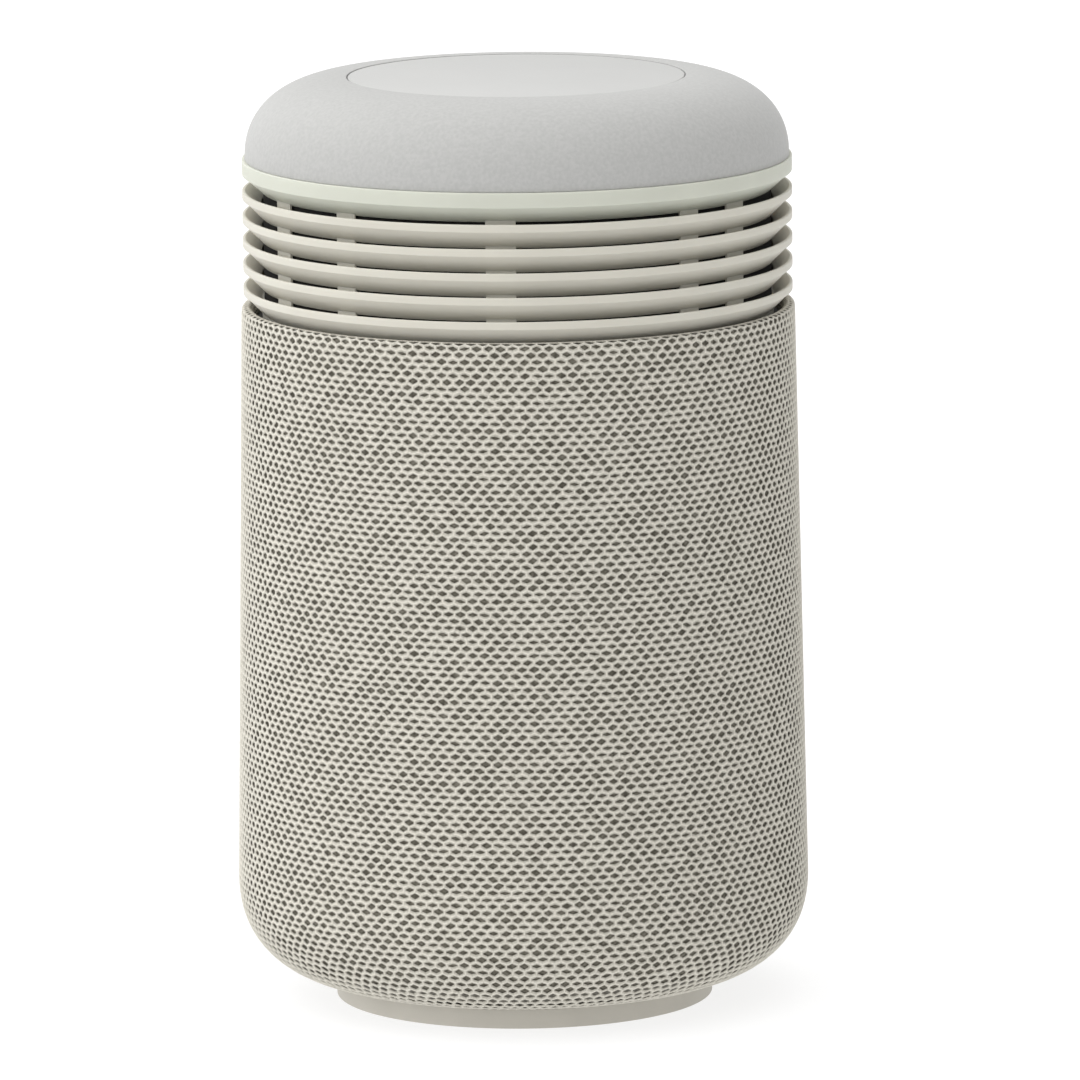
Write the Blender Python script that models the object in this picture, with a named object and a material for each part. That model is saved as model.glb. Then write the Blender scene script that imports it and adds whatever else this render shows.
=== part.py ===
"""Table-top smart speaker: knit-covered barrel, louvred sound outlet and a soft cap with a press disc.

The frame stands on z = 0 with +Z up, the front faces -Y and the upright axis is x = y = 0.
"""
import bmesh
import bpy
from mathutils import Matrix
from math import cos, pi, radians, sin

MM = 0.001

# Driving dimensions, in millimetres
RIM_R = 60.0            # outer radius of every louvre rim
RIM_H = 1.6             # height of a louvre rim's outer face
LOUVRE_PITCH = 5.24     # rim to rim
LOUVRE_COUNT = 5        # louvre rings below the cap ring
CAP_RING_Z = 182.5      # lower edge of the cap ring's band
CAP_RING_H = 3.2        # height of the cap ring's band
DISH_RUN = 4.15         # how far a louvre's dished wall runs inward
DISH_DROP = 3.95        # how far it drops below the rim
CAP_DISH_DROP = 3.56    # the same under the cap ring
RIM_LIP = 0.6           # flat top of a rim
LOUVRE_SLOPE = 0.61     # fall of a louvre's upper side, per mm inward
TOTAL_H = 203.4
CAP_R = 59.4
CAP_WALL = 2.2
CAP_FLAT_R = 37.7       # where the cap's rounded shoulder ends
CAP_POWER = 2.26        # squareness of that shoulder
DISC_R = 36.7
SLEEVE_R = 62.75        # widest radius of the knit barrel
SLEEVE_WIDE_Z = 26.9    # height of the widest radius
SLEEVE_LOW_R = 38.8     # radius where the knit turns in under the barrel
SLEEVE_LOW_Z = 4.5
SLEEVE_POWER = 2.24     # squareness of the barrel's lower corner
SLEEVE_TOP_R = 60.5
SLEEVE_TOP_Z = 153.4
KNIT = 0.7              # thickness of the knit layer
FOLD_R = 57.9           # inner radius of the knit folded over the former's lip
FOOT_R = 41.4
FOOT_IN_R = 34.0
FOOT_H = 4.2
GAP = 0.3               # between touching pieces
CHAMBER_R = 47.5
CHAMBER_WALL = 2.5
CHAMBER_Z = 30.3
CHAMBER_TOP = 146.0
BAFFLE_TOP = 150.4
LUG_NEAR_R = 57.0       # outer and inner radius of the lugs between the rings
LUG_FAR_R = 56.15
LUG_WIDE = 6.6          # in degrees
LUG_NARROW = 5.2
CORE_R = 55.15          # black inner tube that carries the louvre rings
CORE_TOP = 183.5
RADIATOR_Z = 80.0
TWEETER_Z = 112.0
INLET_Y = 14.0
CHANNEL_W = 8.0
HARNESS_Y = 50.2
SLIDER_X = -18.0
BUTTON_X = 18.0
CONTROL_Y = -8.0
BASE_SCREW_R = 28.0
CORE_SCREW_R = 48.7
SCREW_TURN = 30         # where the first of three screws stands, in degrees from +X
STANDOFF_R = 42.0
BOARD_LOW = 24.5        # underside of the main board

OUTER_STEPS = 36
INNER_STEPS = 16


# ---------------------------------------------------------------- materials
def finish(name, colour, roughness, metallic=0.0):
    """A Principled material in one plain finish."""
    material = bpy.data.materials.new(name)
    material.use_nodes = True
    shader = material.node_tree.nodes["Principled BSDF"]
    shader.inputs["Base Color"].default_value = (*colour, 1.0)
    shader.inputs["Roughness"].default_value = roughness
    shader.inputs["Metallic"].default_value = metallic
    return material


# ---------------------------------------------------------------- shape tools
def add_object(name, mesh, material=None):
    piece = bpy.data.objects.new(name, mesh)
    bpy.context.scene.collection.objects.link(piece)
    if material:
        mesh.materials.append(material)
    return piece


def mesh_from(name, shape):
    """Closes a bmesh off into a mesh with outward faces and soft round sides."""
    bmesh.ops.remove_doubles(shape, verts=shape.verts, dist=0.001 * MM)
    bmesh.ops.recalc_face_normals(shape, faces=shape.faces)
    mesh = bpy.data.meshes.new(name)
    shape.to_mesh(mesh)
    shape.free()
    mesh.shade_smooth()
    mesh.set_sharp_from_angle(angle=radians(35))
    return mesh


def lathe(name, outline, material=None, steps=OUTER_STEPS, centre=(0, 0, 0), axis="Z", sweep=360.0, turn=0.0):
    """Turns an outline of (radius, height) points, in millimetres, about an axis through centre.

    A full turn closes on itself; a part turn gets flat end faces.
    """
    shape = bmesh.new()
    start = radians(turn)
    points = [shape.verts.new((r * cos(start) * MM, r * sin(start) * MM, z * MM)) for r, z in outline]
    profile = shape.faces.new(points)
    if sweep < 360.0:
        bmesh.ops.spin(shape, geom=[profile], cent=(0, 0, 0), axis=(0, 0, 1), angle=radians(sweep),
                       steps=steps)
    else:
        bmesh.ops.delete(shape, geom=[profile], context="FACES_ONLY")
        on_axis = [e for e in shape.edges if all(v.co.xy.length < 0.001 * MM for v in e.verts)]
        bmesh.ops.delete(shape, geom=on_axis, context="EDGES")
        bmesh.ops.spin(shape, geom=list(shape.edges), cent=(0, 0, 0), axis=(0, 0, 1), angle=2 * pi,
                       steps=steps, use_merge=True)
    for vert in shape.verts:
        x, y, z = vert.co
        if axis == "X":
            vert.co = (z, x, y)
        elif axis == "-X":
            vert.co = (-z, -x, y)
        elif axis == "-Y":
            vert.co = (x, -z, y)
        vert.co.x += centre[0] * MM
        vert.co.y += centre[1] * MM
        vert.co.z += centre[2] * MM
    return add_object(name, mesh_from(name, shape), material)


def block(name, low, high, material=None):
    """A box between two corners, in millimetres."""
    shape = bmesh.new()
    bmesh.ops.create_cube(shape, size=1.0)
    for vert in shape.verts:
        for i in range(3):
            vert.co[i] = (low[i] if vert.co[i] < 0 else high[i]) * MM
    return add_object(name, mesh_from(name, shape), material)


def turned_block(name, low, high, turn):
    """Block turned about the upright axis, in degrees."""
    bar = block(name, low, high)
    bar.data.transform(Matrix.Rotation(radians(turn), 4, "Z"))
    return bar


def rod(radius, low, high):
    """Outline of a solid round bar between two heights."""
    return [(0, low), (radius, low), (radius, high), (0, high)]


def tube(inner, outer, low, high):
    """Outline of a plain ring."""
    return [(inner, low), (outer, low), (outer, high), (inner, high)]


def ring_of(count, radius, turn=0.0):
    """Places evenly spaced on a circle."""
    angles = [radians(turn + 360.0 * i / count) for i in range(count)]
    return [(radius * cos(a), radius * sin(a)) for a in angles]


def combine(target, tool, how="DIFFERENCE"):
    """Cuts a hidden tool from the target, or joins it on."""
    tool.hide_render = True
    tool.display_type = "WIRE"
    step = target.modifiers.new(how.title() + " " + tool.name, "BOOLEAN")
    step.operation = how
    step.solver = "EXACT"
    step.object = tool


def weld(target):
    """Merges the doubled corners that a cut can leave."""
    step = target.modifiers.new("Weld", "WELD")
    step.merge_threshold = 0.01 * MM


def gather(name, tools):
    """Joins separate tools that don't touch each other into one tool."""
    shape = bmesh.new()
    for tool in tools:
        shape.from_mesh(tool.data)
        bpy.data.objects.remove(tool)
    return add_object(name, mesh_from(name, shape))


def corner(low_r, wide_r, low_z, high_z, power, steps):
    """Rounded outer corner, from the underside (low_r, low_z) out and up to (wide_r, high_z)."""
    points = []
    for i in range(steps + 1):
        a = 0.5 * pi * i / steps
        points.append((low_r + (wide_r - low_r) * sin(a) ** (2 / power),
                       high_z - (high_z - low_z) * abs(cos(a)) ** (2 / power)))
    return points


def shoulder(wide_r, flat_r, low_z, high_z, power, steps):
    """Rounded shoulder, from the side (wide_r, low_z) up and in to (flat_r, high_z)."""
    points = []
    for i in range(steps + 1):
        a = 0.5 * pi * i / steps
        points.append((flat_r + (wide_r - flat_r) * abs(cos(a)) ** (2 / power),
                       low_z + (high_z - low_z) * sin(a) ** (2 / power)))
    return points


# ---------------------------------------------------------------- base
def posts(name, outline, places, material=None):
    """Small turned pieces that stand at several places."""
    return [lathe(name, outline, material, steps=8, centre=(x, y, 0)) for x, y in places]


def harness_slot():
    """Upright clearance for the wire harness, shared by every plate that it passes."""
    return block("harness_slot", (-1.9, HARNESS_Y - 1.9, 27), (1.9, HARNESS_Y + 1.9, 189))


def core_screw_holes():
    """Clearance for the screws that clamp the core and the baffle to the chamber's rim."""
    holes = posts("hole", rod(1.5, 143.4, 153), ring_of(3, CORE_SCREW_R, SCREW_TURN))
    return gather("core_screw_holes", holes)


def cable_channel():
    """Way out to the rear for the power lead, under the barrel."""
    return block("cable_channel", (-CHANNEL_W / 2, INLET_Y, -1), (CHANNEL_W / 2, FOOT_R + 2, FOOT_H + 0.2))


def make_base(silicone, plastic, black, steel, channel):
    foot = lathe("foot_ring", tube(FOOT_IN_R, FOOT_R, 0, FOOT_H), silicone)
    combine(foot, channel)

    plate = lathe("bottom_plate", rod(FOOT_IN_R - GAP, 1.6, FOOT_H), plastic)
    combine(plate, channel)
    windows = [block("well_window", (-7, INLET_Y - 7, 0), (7, INLET_Y + 7, 6)),
               block("slider_window", (SLIDER_X - 4, CONTROL_Y - 1.7, 0), (SLIDER_X + 4, CONTROL_Y + 1.7, 6)),
               lathe("button_window", rod(2.6, 0, 6), steps=16, centre=(BUTTON_X, CONTROL_Y, 0))]
    screws = ring_of(3, BASE_SCREW_R, SCREW_TURN)
    windows += posts("screw_seat", [(0, 0), (3.2, 0), (3.2, 2.9), (1.6, 2.9), (1.6, 6), (0, 6)], screws)
    combine(plate, gather("plate_windows", windows))

    for i, (x, y) in enumerate(screws):
        lathe("base_screw_" + str(i + 1), [(0, 1.8), (2.8, 1.8), (2.8, 2.6), (1.2, 2.6), (1.2, 13), (0, 13)],
              steel, steps=8, centre=(x, y, 0))

    wide = SLEEVE_R - KNIT - GAP
    low_z = SLEEVE_LOW_Z + KNIT + GAP
    outside = corner(SLEEVE_LOW_R, wide, low_z, SLEEVE_WIDE_Z, SLEEVE_POWER, 4)
    inside = corner(SLEEVE_LOW_R, wide - 2.2, low_z + 2.2, SLEEVE_WIDE_Z, SLEEVE_POWER, 4)
    outline = [(0, FOOT_H + GAP), (SLEEVE_LOW_R - 0.4, FOOT_H + GAP), (SLEEVE_LOW_R - 0.4, low_z)]
    outline += outside[1:] + [(wide - 0.05, 30), (57.5, 30), (57.5, 27.5)]
    outline += inside[-2:0:-1] + [(SLEEVE_LOW_R - 4, low_z + 1.9), (0, low_z + 1.9)]
    pan = lathe("base_pan", outline, plastic)
    bosses = posts("boss", rod(3.0, 5.5, 15), screws)
    bosses += posts("standoff", rod(2.6, 7.0, BOARD_LOW - GAP), ring_of(3, STANDOFF_R, SCREW_TURN))
    combine(pan, gather("pan_bosses", bosses), "UNION")
    holes = posts("pilot", rod(1.5, 0, 14), screws)
    holes.append(block("inlet_hole", (-9.8, INLET_Y - 9.8, 0), (9.8, INLET_Y + 9.8, 12)))
    holes.append(block("slider_hole", (SLIDER_X - 4.5, CONTROL_Y - 2, 0),
                       (SLIDER_X + 4.5, CONTROL_Y + 2, 12)))
    holes.append(lathe("button_hole", rod(3.6, 0, 12), steps=16, centre=(BUTTON_X, CONTROL_Y, 0)))
    combine(pan, gather("pan_holes", holes))

    inlet = block("power_inlet", (-9.5, INLET_Y - 9.5, FOOT_H + 0.6), (9.5, INLET_Y + 9.5, 23), black)
    well = block("plug_well", (-6.7, INLET_Y - 6.7, 0), (6.7, INLET_Y + 6.7, 13))
    bore = lathe("plug_bore", tube(0.9, 3.2, 12, 21.5), steps=16, centre=(0, INLET_Y, 0))
    combine(inlet, well)
    combine(inlet, bore)

    slider = block("mute_slider", (SLIDER_X - 2.2, CONTROL_Y - 1.3, 1.4),
                   (SLIDER_X + 0.8, CONTROL_Y + 1.3, 9.0), black)
    block("mute_switch", (SLIDER_X - 4.2, CONTROL_Y - 3.2, 9.3),
          (SLIDER_X + 4.2, CONTROL_Y + 3.2, BOARD_LOW - GAP), steel)
    stepped = [(0, 1.9), (2.2, 1.9), (2.2, 4.6), (3.2, 4.6), (3.2, 6.4), (1.2, 6.4), (1.2, 12.0), (0, 12.0)]
    button = lathe("pair_button", stepped, plastic, steps=16, centre=(BUTTON_X, CONTROL_Y, 0))
    block("pair_switch", (BUTTON_X - 3, CONTROL_Y - 3, 12.9),
          (BUTTON_X + 3, CONTROL_Y + 3, BOARD_LOW - GAP), black)
    return slider, button


def make_electronics(board_green, steel, black, copper):
    lathe("main_board", rod(47.5, BOARD_LOW, BOARD_LOW + 1.6), board_green, steps=24)
    block("heat_sink", (-17, -30, 18.5), (17, -13, BOARD_LOW - GAP), steel)
    for i, side in enumerate((-1, 1)):
        can = rod(4.0, 15.0, BOARD_LOW - GAP)
        lathe("capacitor_" + str(i + 1), can, black, steps=8, centre=(27 * side, 4, 0))
    block("radio_module", (-9, -44, 26.4), (9, -32, 29.0), steel)
    route = []
    for i in range(5):
        a = 0.5 * pi * i / 4
        route.append((0, HARNESS_Y - 2.4 * (1 - sin(a)), 27.7 + 2.4 * (1 - cos(a))))
    for i in range(5):
        a = 0.5 * pi * i / 4
        route.append((0, HARNESS_Y - 6.0 * (1 - cos(a)), 187.0 + 6.0 * sin(a)))
    line = bpy.data.curves.new("wire_harness", "CURVE")
    line.dimensions = "3D"
    line.bevel_depth = 1.2 * MM
    line.bevel_resolution = 2
    line.use_fill_caps = True
    spline = line.splines.new("POLY")
    spline.points.add(len(route) - 1)
    for point, place in zip(spline.points, route):
        point.co = (place[0] * MM, place[1] * MM, place[2] * MM, 1.0)
    add_object("wire_harness", line, copper)


# ---------------------------------------------------------------- barrel
def sleeve_outer(steps):
    """Outside of the knit barrel from its turned-in hem to just below the top fold."""
    points = corner(SLEEVE_LOW_R, SLEEVE_R, SLEEVE_LOW_Z, SLEEVE_WIDE_Z, SLEEVE_POWER, steps)
    return points + [(SLEEVE_TOP_R, SLEEVE_TOP_Z - 0.9)]


def make_barrel(knit, plastic):
    rise = SLEEVE_TOP_Z
    inside = corner(SLEEVE_LOW_R, SLEEVE_R - KNIT, SLEEVE_LOW_Z + KNIT, SLEEVE_WIDE_Z, SLEEVE_POWER, 4)
    outline = sleeve_outer(4) + [(59.9, rise - 0.15), (59.2, rise), (58.4, rise - 0.2), (FOLD_R, rise - 0.9)]
    outline += [(FOLD_R, 150.9), (FOLD_R + 0.6, 150.9), (FOLD_R + 0.6, rise - 0.9), (59.8, rise - 0.9)]
    outline += inside[::-1]
    lathe("knit_sleeve", outline, knit)

    wide = SLEEVE_R - KNIT - GAP
    wall = [(wide - 0.15, CHAMBER_Z), (59.5, rise - 1.2), (58.8, rise - 1.2), (58.8, 150.4), (57.8, 150.4),
            (57.8, 143), (59.8, CHAMBER_Z)]
    former = lathe("grille_former", wall, plastic)
    slots = [turned_block("slot", (50, -5, 40), (70, 5, 140), 9 + 18 * i) for i in range(20)]
    combine(former, gather("former_slots", slots))


def make_chamber(black, foam, slot, screw_holes):
    inner = CHAMBER_R - CHAMBER_WALL
    outline = [(0, CHAMBER_Z), (59.2, CHAMBER_Z), (59.2, 33), (CHAMBER_R, 33), (CHAMBER_R, 143),
               (52, 143), (52, CHAMBER_TOP), (0, CHAMBER_TOP)]
    chamber = lathe("speaker_chamber", outline, black, steps=24)
    pads = [lathe("radiator_pad", rod(28, 30, 48), steps=24, centre=(0, 0, RADIATOR_Z), axis=way)
            for way in ("X", "-X")]
    pads.append(lathe("tweeter_pad", rod(18, 36, 50), steps=24, centre=(0, 0, TWEETER_Z), axis="-Y"))
    combine(chamber, gather("chamber_pads", pads), "UNION")
    core = lathe("chamber_core", rod(inner, 33.3, CHAMBER_TOP + 4), steps=24)
    combine(chamber, core)
    bores = [lathe("radiator_bore", rod(24, 20, 70), steps=24, centre=(0, 0, RADIATOR_Z), axis=way)
             for way in ("X", "-X")]
    bores.append(lathe("tweeter_bore", rod(14.6, 20, 70), steps=24, centre=(0, 0, TWEETER_Z), axis="-Y"))
    combine(chamber, gather("chamber_bores", bores))
    weld(chamber)
    combine(chamber, slot)
    combine(chamber, screw_holes)
    gasket = lathe("chamber_gasket", tube(inner, 51.8, CHAMBER_TOP + GAP, CHAMBER_TOP + 1.1), foam, steps=24)
    combine(gasket, slot)
    combine(gasket, screw_holes)
    baffle = lathe("top_baffle", tube(36.6, 57.4, CHAMBER_TOP + 1.4, BAFFLE_TOP), black)
    combine(baffle, slot)
    combine(baffle, screw_holes)


# ---------------------------------------------------------------- drivers
def make_radiators(black, rubber, steel):
    """Two passive radiators back to back on the chamber's sides."""
    plates = []
    for side, way in (("right", "X"), ("left", "-X")):
        centre = (0, 0, RADIATOR_Z)
        lathe(side + "_radiator_frame", tube(22.3, 27.6, 48.3, 50.6), black, INNER_STEPS, centre, way)
        roll = [(22.0, 48.4), (22.0, 49.2), (20.4, 49.3), (18.7, 51.0), (17.0, 49.3), (15.4, 49.2),
                (15.4, 48.4), (17.2, 48.5), (18.7, 50.0), (20.2, 48.5)]
        lathe(side + "_radiator_surround", roll, rubber, INNER_STEPS, centre, way)
        plates.append(lathe(side + "_radiator_plate", rod(15.0, 47.4, 50.4), steel, INNER_STEPS, centre, way))
    return plates


def make_tweeter(black, silk, steel):
    centre = (0, 0, TWEETER_Z)
    lathe("tweeter_can", [(0, 36), (14.2, 36), (14.2, 49.7), (12.9, 49.7), (12.9, 38), (0, 38)], black,
          INNER_STEPS, centre, "-Y")
    lathe("tweeter_magnet", rod(11.5, 38.4, 46.5), steel, 16, centre, "-Y")
    lathe("tweeter_faceplate", tube(11.2, 17.0, 50.3, 52.0), black, INNER_STEPS, centre, "-Y")
    dome = [(0, 52.8), (5.5, 52.2), (9.2, 50.9), (10.8, 49.3), (10.8, 48.8), (9.6, 48.8), (8.6, 50.2),
            (5.2, 51.5), (0, 52.1)]
    return lathe("tweeter_dome", dome, silk, INNER_STEPS, centre, "-Y")


def make_woofer(steel, black, paper, rubber, cloth, copper):
    basket = [(36.3, BAFFLE_TOP + GAP), (41, BAFFLE_TOP + GAP), (41, 152.6), (36.0, 152.6), (27.5, 130.4),
              (24.6, 130.0), (14.5, 130.0), (14.5, 128.0), (28, 128.0), (29.5, 130.0)]
    frame = lathe("woofer_basket", basket, steel, INNER_STEPS)
    windows = [turned_block("basket_window", (20, -8, 133), (45, 8, 146), 60 * i) for i in range(6)]
    combine(frame, gather("basket_windows", windows))
    lathe("woofer_top_plate", tube(13.7, 24, 124.5, 127.7), steel, INNER_STEPS)
    lathe("woofer_magnet", tube(16.5, 26, 114.2, 124.2), black, INNER_STEPS)
    lathe("woofer_yoke", [(0, 109.9), (24, 109.9), (24, 113.9), (11.5, 113.9), (11.5, 127.6), (0, 127.6)],
          steel, INNER_STEPS)
    lathe("voice_coil", tube(12.1, 13.1, 118.0, 136.0), copper, INNER_STEPS)
    spider = [(13.6, 130.4), (24.4, 130.4), (24.4, 131.0), (13.6, 131.0)]
    lathe("woofer_spider", spider, cloth, INNER_STEPS)
    flare = [(13.5, 134.9), (20.0, 138.9), (33.0, 150.0), (33.0, 151.2), (19.6, 140.0), (13.5, 136.3)]
    lathe("woofer_cone", flare, paper, INNER_STEPS)
    roll = [(33.5, 151.4), (34.1, 151.4), (34.1, 153.0), (36.2, 154.9), (38.4, 152.95), (40.6, 152.95),
            (40.6, 153.7), (38.7, 153.7), (36.2, 155.9), (33.5, 153.8)]
    lathe("woofer_surround", roll, rubber, INNER_STEPS)
    lathe("dust_cap", [(0, 140.9), (7, 139.9), (12.0, 137.6), (12.0, 136.5), (7, 138.9), (0, 139.9)],
          paper, INNER_STEPS)
    for i, (x, y) in enumerate(ring_of(3, CORE_SCREW_R, SCREW_TURN)):
        lathe("core_screw_" + str(i + 1), [(0, 153.9), (2.4, 153.9), (2.4, 152.5), (1.2, 152.5), (1.2, 144.0),
                                           (0, 144.0)], steel, steps=8, centre=(x, y, 0))


# ---------------------------------------------------------------- louvre
def dish_under(rim_low, drop):
    """Underside of a louvre ring's dished wall, from the rim in and down."""
    return [(RIM_R, rim_low), (RIM_R - 2.2, rim_low - 0.5 * drop), (RIM_R - DISH_RUN, rim_low - drop)]


def height_on(line, radius):
    """Height of an inward-running line of points at one radius."""
    for (r0, z0), (r1, z1) in zip(line, line[1:]):
        if r1 <= radius <= r0:
            return z0 + (z1 - z0) * (r0 - radius) / (r0 - r1)
    return line[-1][1]


def make_louvre(plastic, band_plastic, black, slot, screw_holes):
    core_low = BAFFLE_TOP + GAP
    inner = CORE_R - 1.5
    wall = [(43, core_low), (CORE_R, core_low), (CORE_R, CORE_TOP), (47, CORE_TOP), (47, CORE_TOP - 1.6),
            (inner, CORE_TOP - 1.6), (inner, core_low + 1.5), (43, core_low + 1.5)]
    core = lathe("louvre_core", wall, black)
    windows = [turned_block("core_window", (48, -8, 155), (60, 8, 179), 15 + 30 * i) for i in range(12)]
    combine(core, gather("core_windows", windows))
    combine(core, slot)
    combine(core, screw_holes)

    places = [(60 * i - 93.7, LUG_WIDE) for i in range(6)]
    places += [(side * a - 90, LUG_NARROW) for a in (40.8, 139.2) for side in (-1, 1)]
    above = dish_under(CAP_RING_Z, CAP_DISH_DROP)
    for i in range(LOUVRE_COUNT):
        low = CAP_RING_Z - LOUVRE_PITCH * (i + 1)
        under = dish_under(low, DISH_DROP)
        top = low + RIM_H
        inner_top = top - LOUVRE_SLOPE * DISH_RUN
        upper = [(RIM_R - DISH_RUN, inner_top), (RIM_R - RIM_LIP, top)]
        outline = [(RIM_R, top)] + under
        if i == LOUVRE_COUNT - 1:
            outline += [(RIM_R - DISH_RUN, core_low), (RIM_R - DISH_RUN - 0.4, core_low)]
            upper[0] = (RIM_R - DISH_RUN - 0.4, inner_top)
        ring = lathe("louvre_ring_" + str(i + 1), outline + upper, plastic)
        near, far, seat = LUG_NEAR_R, LUG_FAR_R, upper[::-1]
        lug = [(near, height_on(seat, near) - 0.5), (near, height_on(above, near) - GAP),
               (far, height_on(above, far) - GAP), (far, height_on(seat, far) - 0.5)]
        lugs = [lathe("lug", lug, steps=2, sweep=width, turn=turn - width / 2) for turn, width in places]
        combine(ring, gather("louvre_lugs_" + str(i + 1), lugs), "UNION")
        above = under

    under = dish_under(CAP_RING_Z, CAP_DISH_DROP)
    seat = CORE_TOP + GAP
    band = [(RIM_R, CAP_RING_Z + CAP_RING_H)] + under
    band += [(RIM_R - DISH_RUN, CAP_RING_Z - 2.5), (57.2, 182.0), (57.2, seat), (50.2, seat),
             (50.2, CAP_RING_Z + CAP_RING_H)]
    combine(lathe("cap_ring", band, band_plastic), slot)


def make_waveguide(black):
    outline = [(0, 158.5), (2.5, 159.0), (6, 161.5), (14, 168), (26, 175), (40, 180.2), (46.6, 181.6),
               (46.6, 183.4), (38, 183.4), (24, 177.5), (12, 170.5), (0, 163)]
    lathe("waveguide", outline, black, steps=24)


# ---------------------------------------------------------------- cap
def make_cap(soft_touch, disc_plastic, board_green, black, silicone, diffuser, slot):
    plate_low = CORE_TOP + GAP
    frame = lathe("cap_frame", tube(12, 49.9, plate_low, 186.3), black)
    pillars = [lathe("pillar", rod(3, 186, 189.7), steps=8, centre=(x, y, 0)) for x, y in ring_of(4, 30, 45)]
    combine(frame, gather("frame_pillars", pillars), "UNION")
    combine(frame, slot)
    lathe("top_board", rod(41.5, 190.0, 191.6), board_green, steps=24)
    block("disc_switch", (-3, -3, 191.9), (3, 3, 195.9), black)
    lathe("return_ring", [(20, 191.9), (23, 191.9), (22.2, 196.4), (23, 200.7), (20, 200.7), (19.2, 196.4)],
          silicone, INNER_STEPS)
    lathe("light_guide", [(38, 191.9), (40, 191.9), (40, 196.0), (42, 197.8), (42, 199.6), (35.8, 199.6),
                          (35.8, 198.2), (38, 196.6)], diffuser, steps=24)

    low = CAP_RING_Z + CAP_RING_H + GAP
    outside = shoulder(CAP_R, CAP_FLAT_R, low, TOTAL_H, CAP_POWER, 4)
    inside = shoulder(CAP_R - CAP_WALL, CAP_FLAT_R, low, TOTAL_H - CAP_WALL, CAP_POWER, 4)
    opening = [(DISC_R + 0.5, TOTAL_H), (DISC_R + 0.5, TOTAL_H - CAP_WALL)]
    lathe("cap_shell", outside + opening + inside[::-1], soft_touch)
    return lathe("press_disc", [(0, 201.0), (0, TOTAL_H - 0.1), (DISC_R, TOTAL_H - 0.1), (DISC_R, 201.0),
                                (34.4, 201.0), (34.4, 198.8), (33.0, 198.8), (33.0, 201.0), (3.0, 201.0),
                                (3.0, 196.7), (0, 196.7)], disc_plastic)


# ---------------------------------------------------------------- assembly
def hold_origin(piece, place):
    """Puts a piece's origin at a point on its joint's axis without moving the piece."""
    shift = [p * MM for p in place]
    for vert in piece.data.vertices:
        for i in range(3):
            vert.co[i] -= shift[i]
    piece.location = shift


def build():
    for old in list(bpy.data.objects):
        bpy.data.objects.remove(old)
    knit = finish("knit", (0.42, 0.40, 0.34), 0.95)
    soft_touch = finish("soft_touch", (0.56, 0.56, 0.54), 0.85)
    disc_plastic = finish("disc_plastic", (0.62, 0.62, 0.60), 0.5)
    louvre_plastic = finish("louvre_plastic", (0.60, 0.57, 0.50), 0.55)
    band_plastic = finish("band_plastic", (0.60, 0.62, 0.54), 0.55)
    silicone = finish("silicone", (0.50, 0.48, 0.42), 0.8)
    plastic = finish("frame_plastic", (0.45, 0.43, 0.38), 0.6)
    black = finish("black_plastic", (0.02, 0.02, 0.02), 0.6)
    steel = finish("steel", (0.55, 0.55, 0.56), 0.35, 1.0)
    copper = finish("copper", (0.45, 0.20, 0.10), 0.4)
    paper = finish("paper", (0.05, 0.05, 0.05), 0.9)
    rubber = finish("rubber", (0.03, 0.03, 0.03), 0.7)
    cloth = finish("spider_cloth", (0.35, 0.22, 0.08), 0.9)
    foam = finish("foam", (0.04, 0.04, 0.04), 1.0)
    board_green = finish("circuit_board", (0.02, 0.12, 0.06), 0.4)
    diffuser = finish("diffuser", (0.80, 0.80, 0.78), 0.4)

    slot = harness_slot()
    screw_holes = core_screw_holes()
    slider, button = make_base(silicone, plastic, black, steel, cable_channel())
    make_electronics(board_green, steel, black, copper)
    make_barrel(knit, plastic)
    make_chamber(black, foam, slot, screw_holes)
    plates = make_radiators(black, rubber, steel)
    dome = make_tweeter(black, paper, steel)
    make_woofer(steel, black, paper, rubber, cloth, copper)
    make_louvre(louvre_plastic, band_plastic, black, slot, screw_holes)
    make_waveguide(black)
    disc = make_cap(soft_touch, disc_plastic, board_green, black, silicone, diffuser, slot)

    hold_origin(slider, (SLIDER_X, CONTROL_Y, 0))
    hold_origin(button, (BUTTON_X, CONTROL_Y, 0))
    hold_origin(plates[0], (48, 0, RADIATOR_Z))
    hold_origin(plates[1], (-48, 0, RADIATOR_Z))
    hold_origin(dome, (0, -50, TWEETER_Z))
    hold_origin(disc, (0, 0, TOTAL_H))


build()
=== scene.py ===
from math import atan2, cos, pi, radians, sin, sqrt, tan
import bmesh
import bpy
import numpy as np
from mathutils import Matrix, Vector


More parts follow.
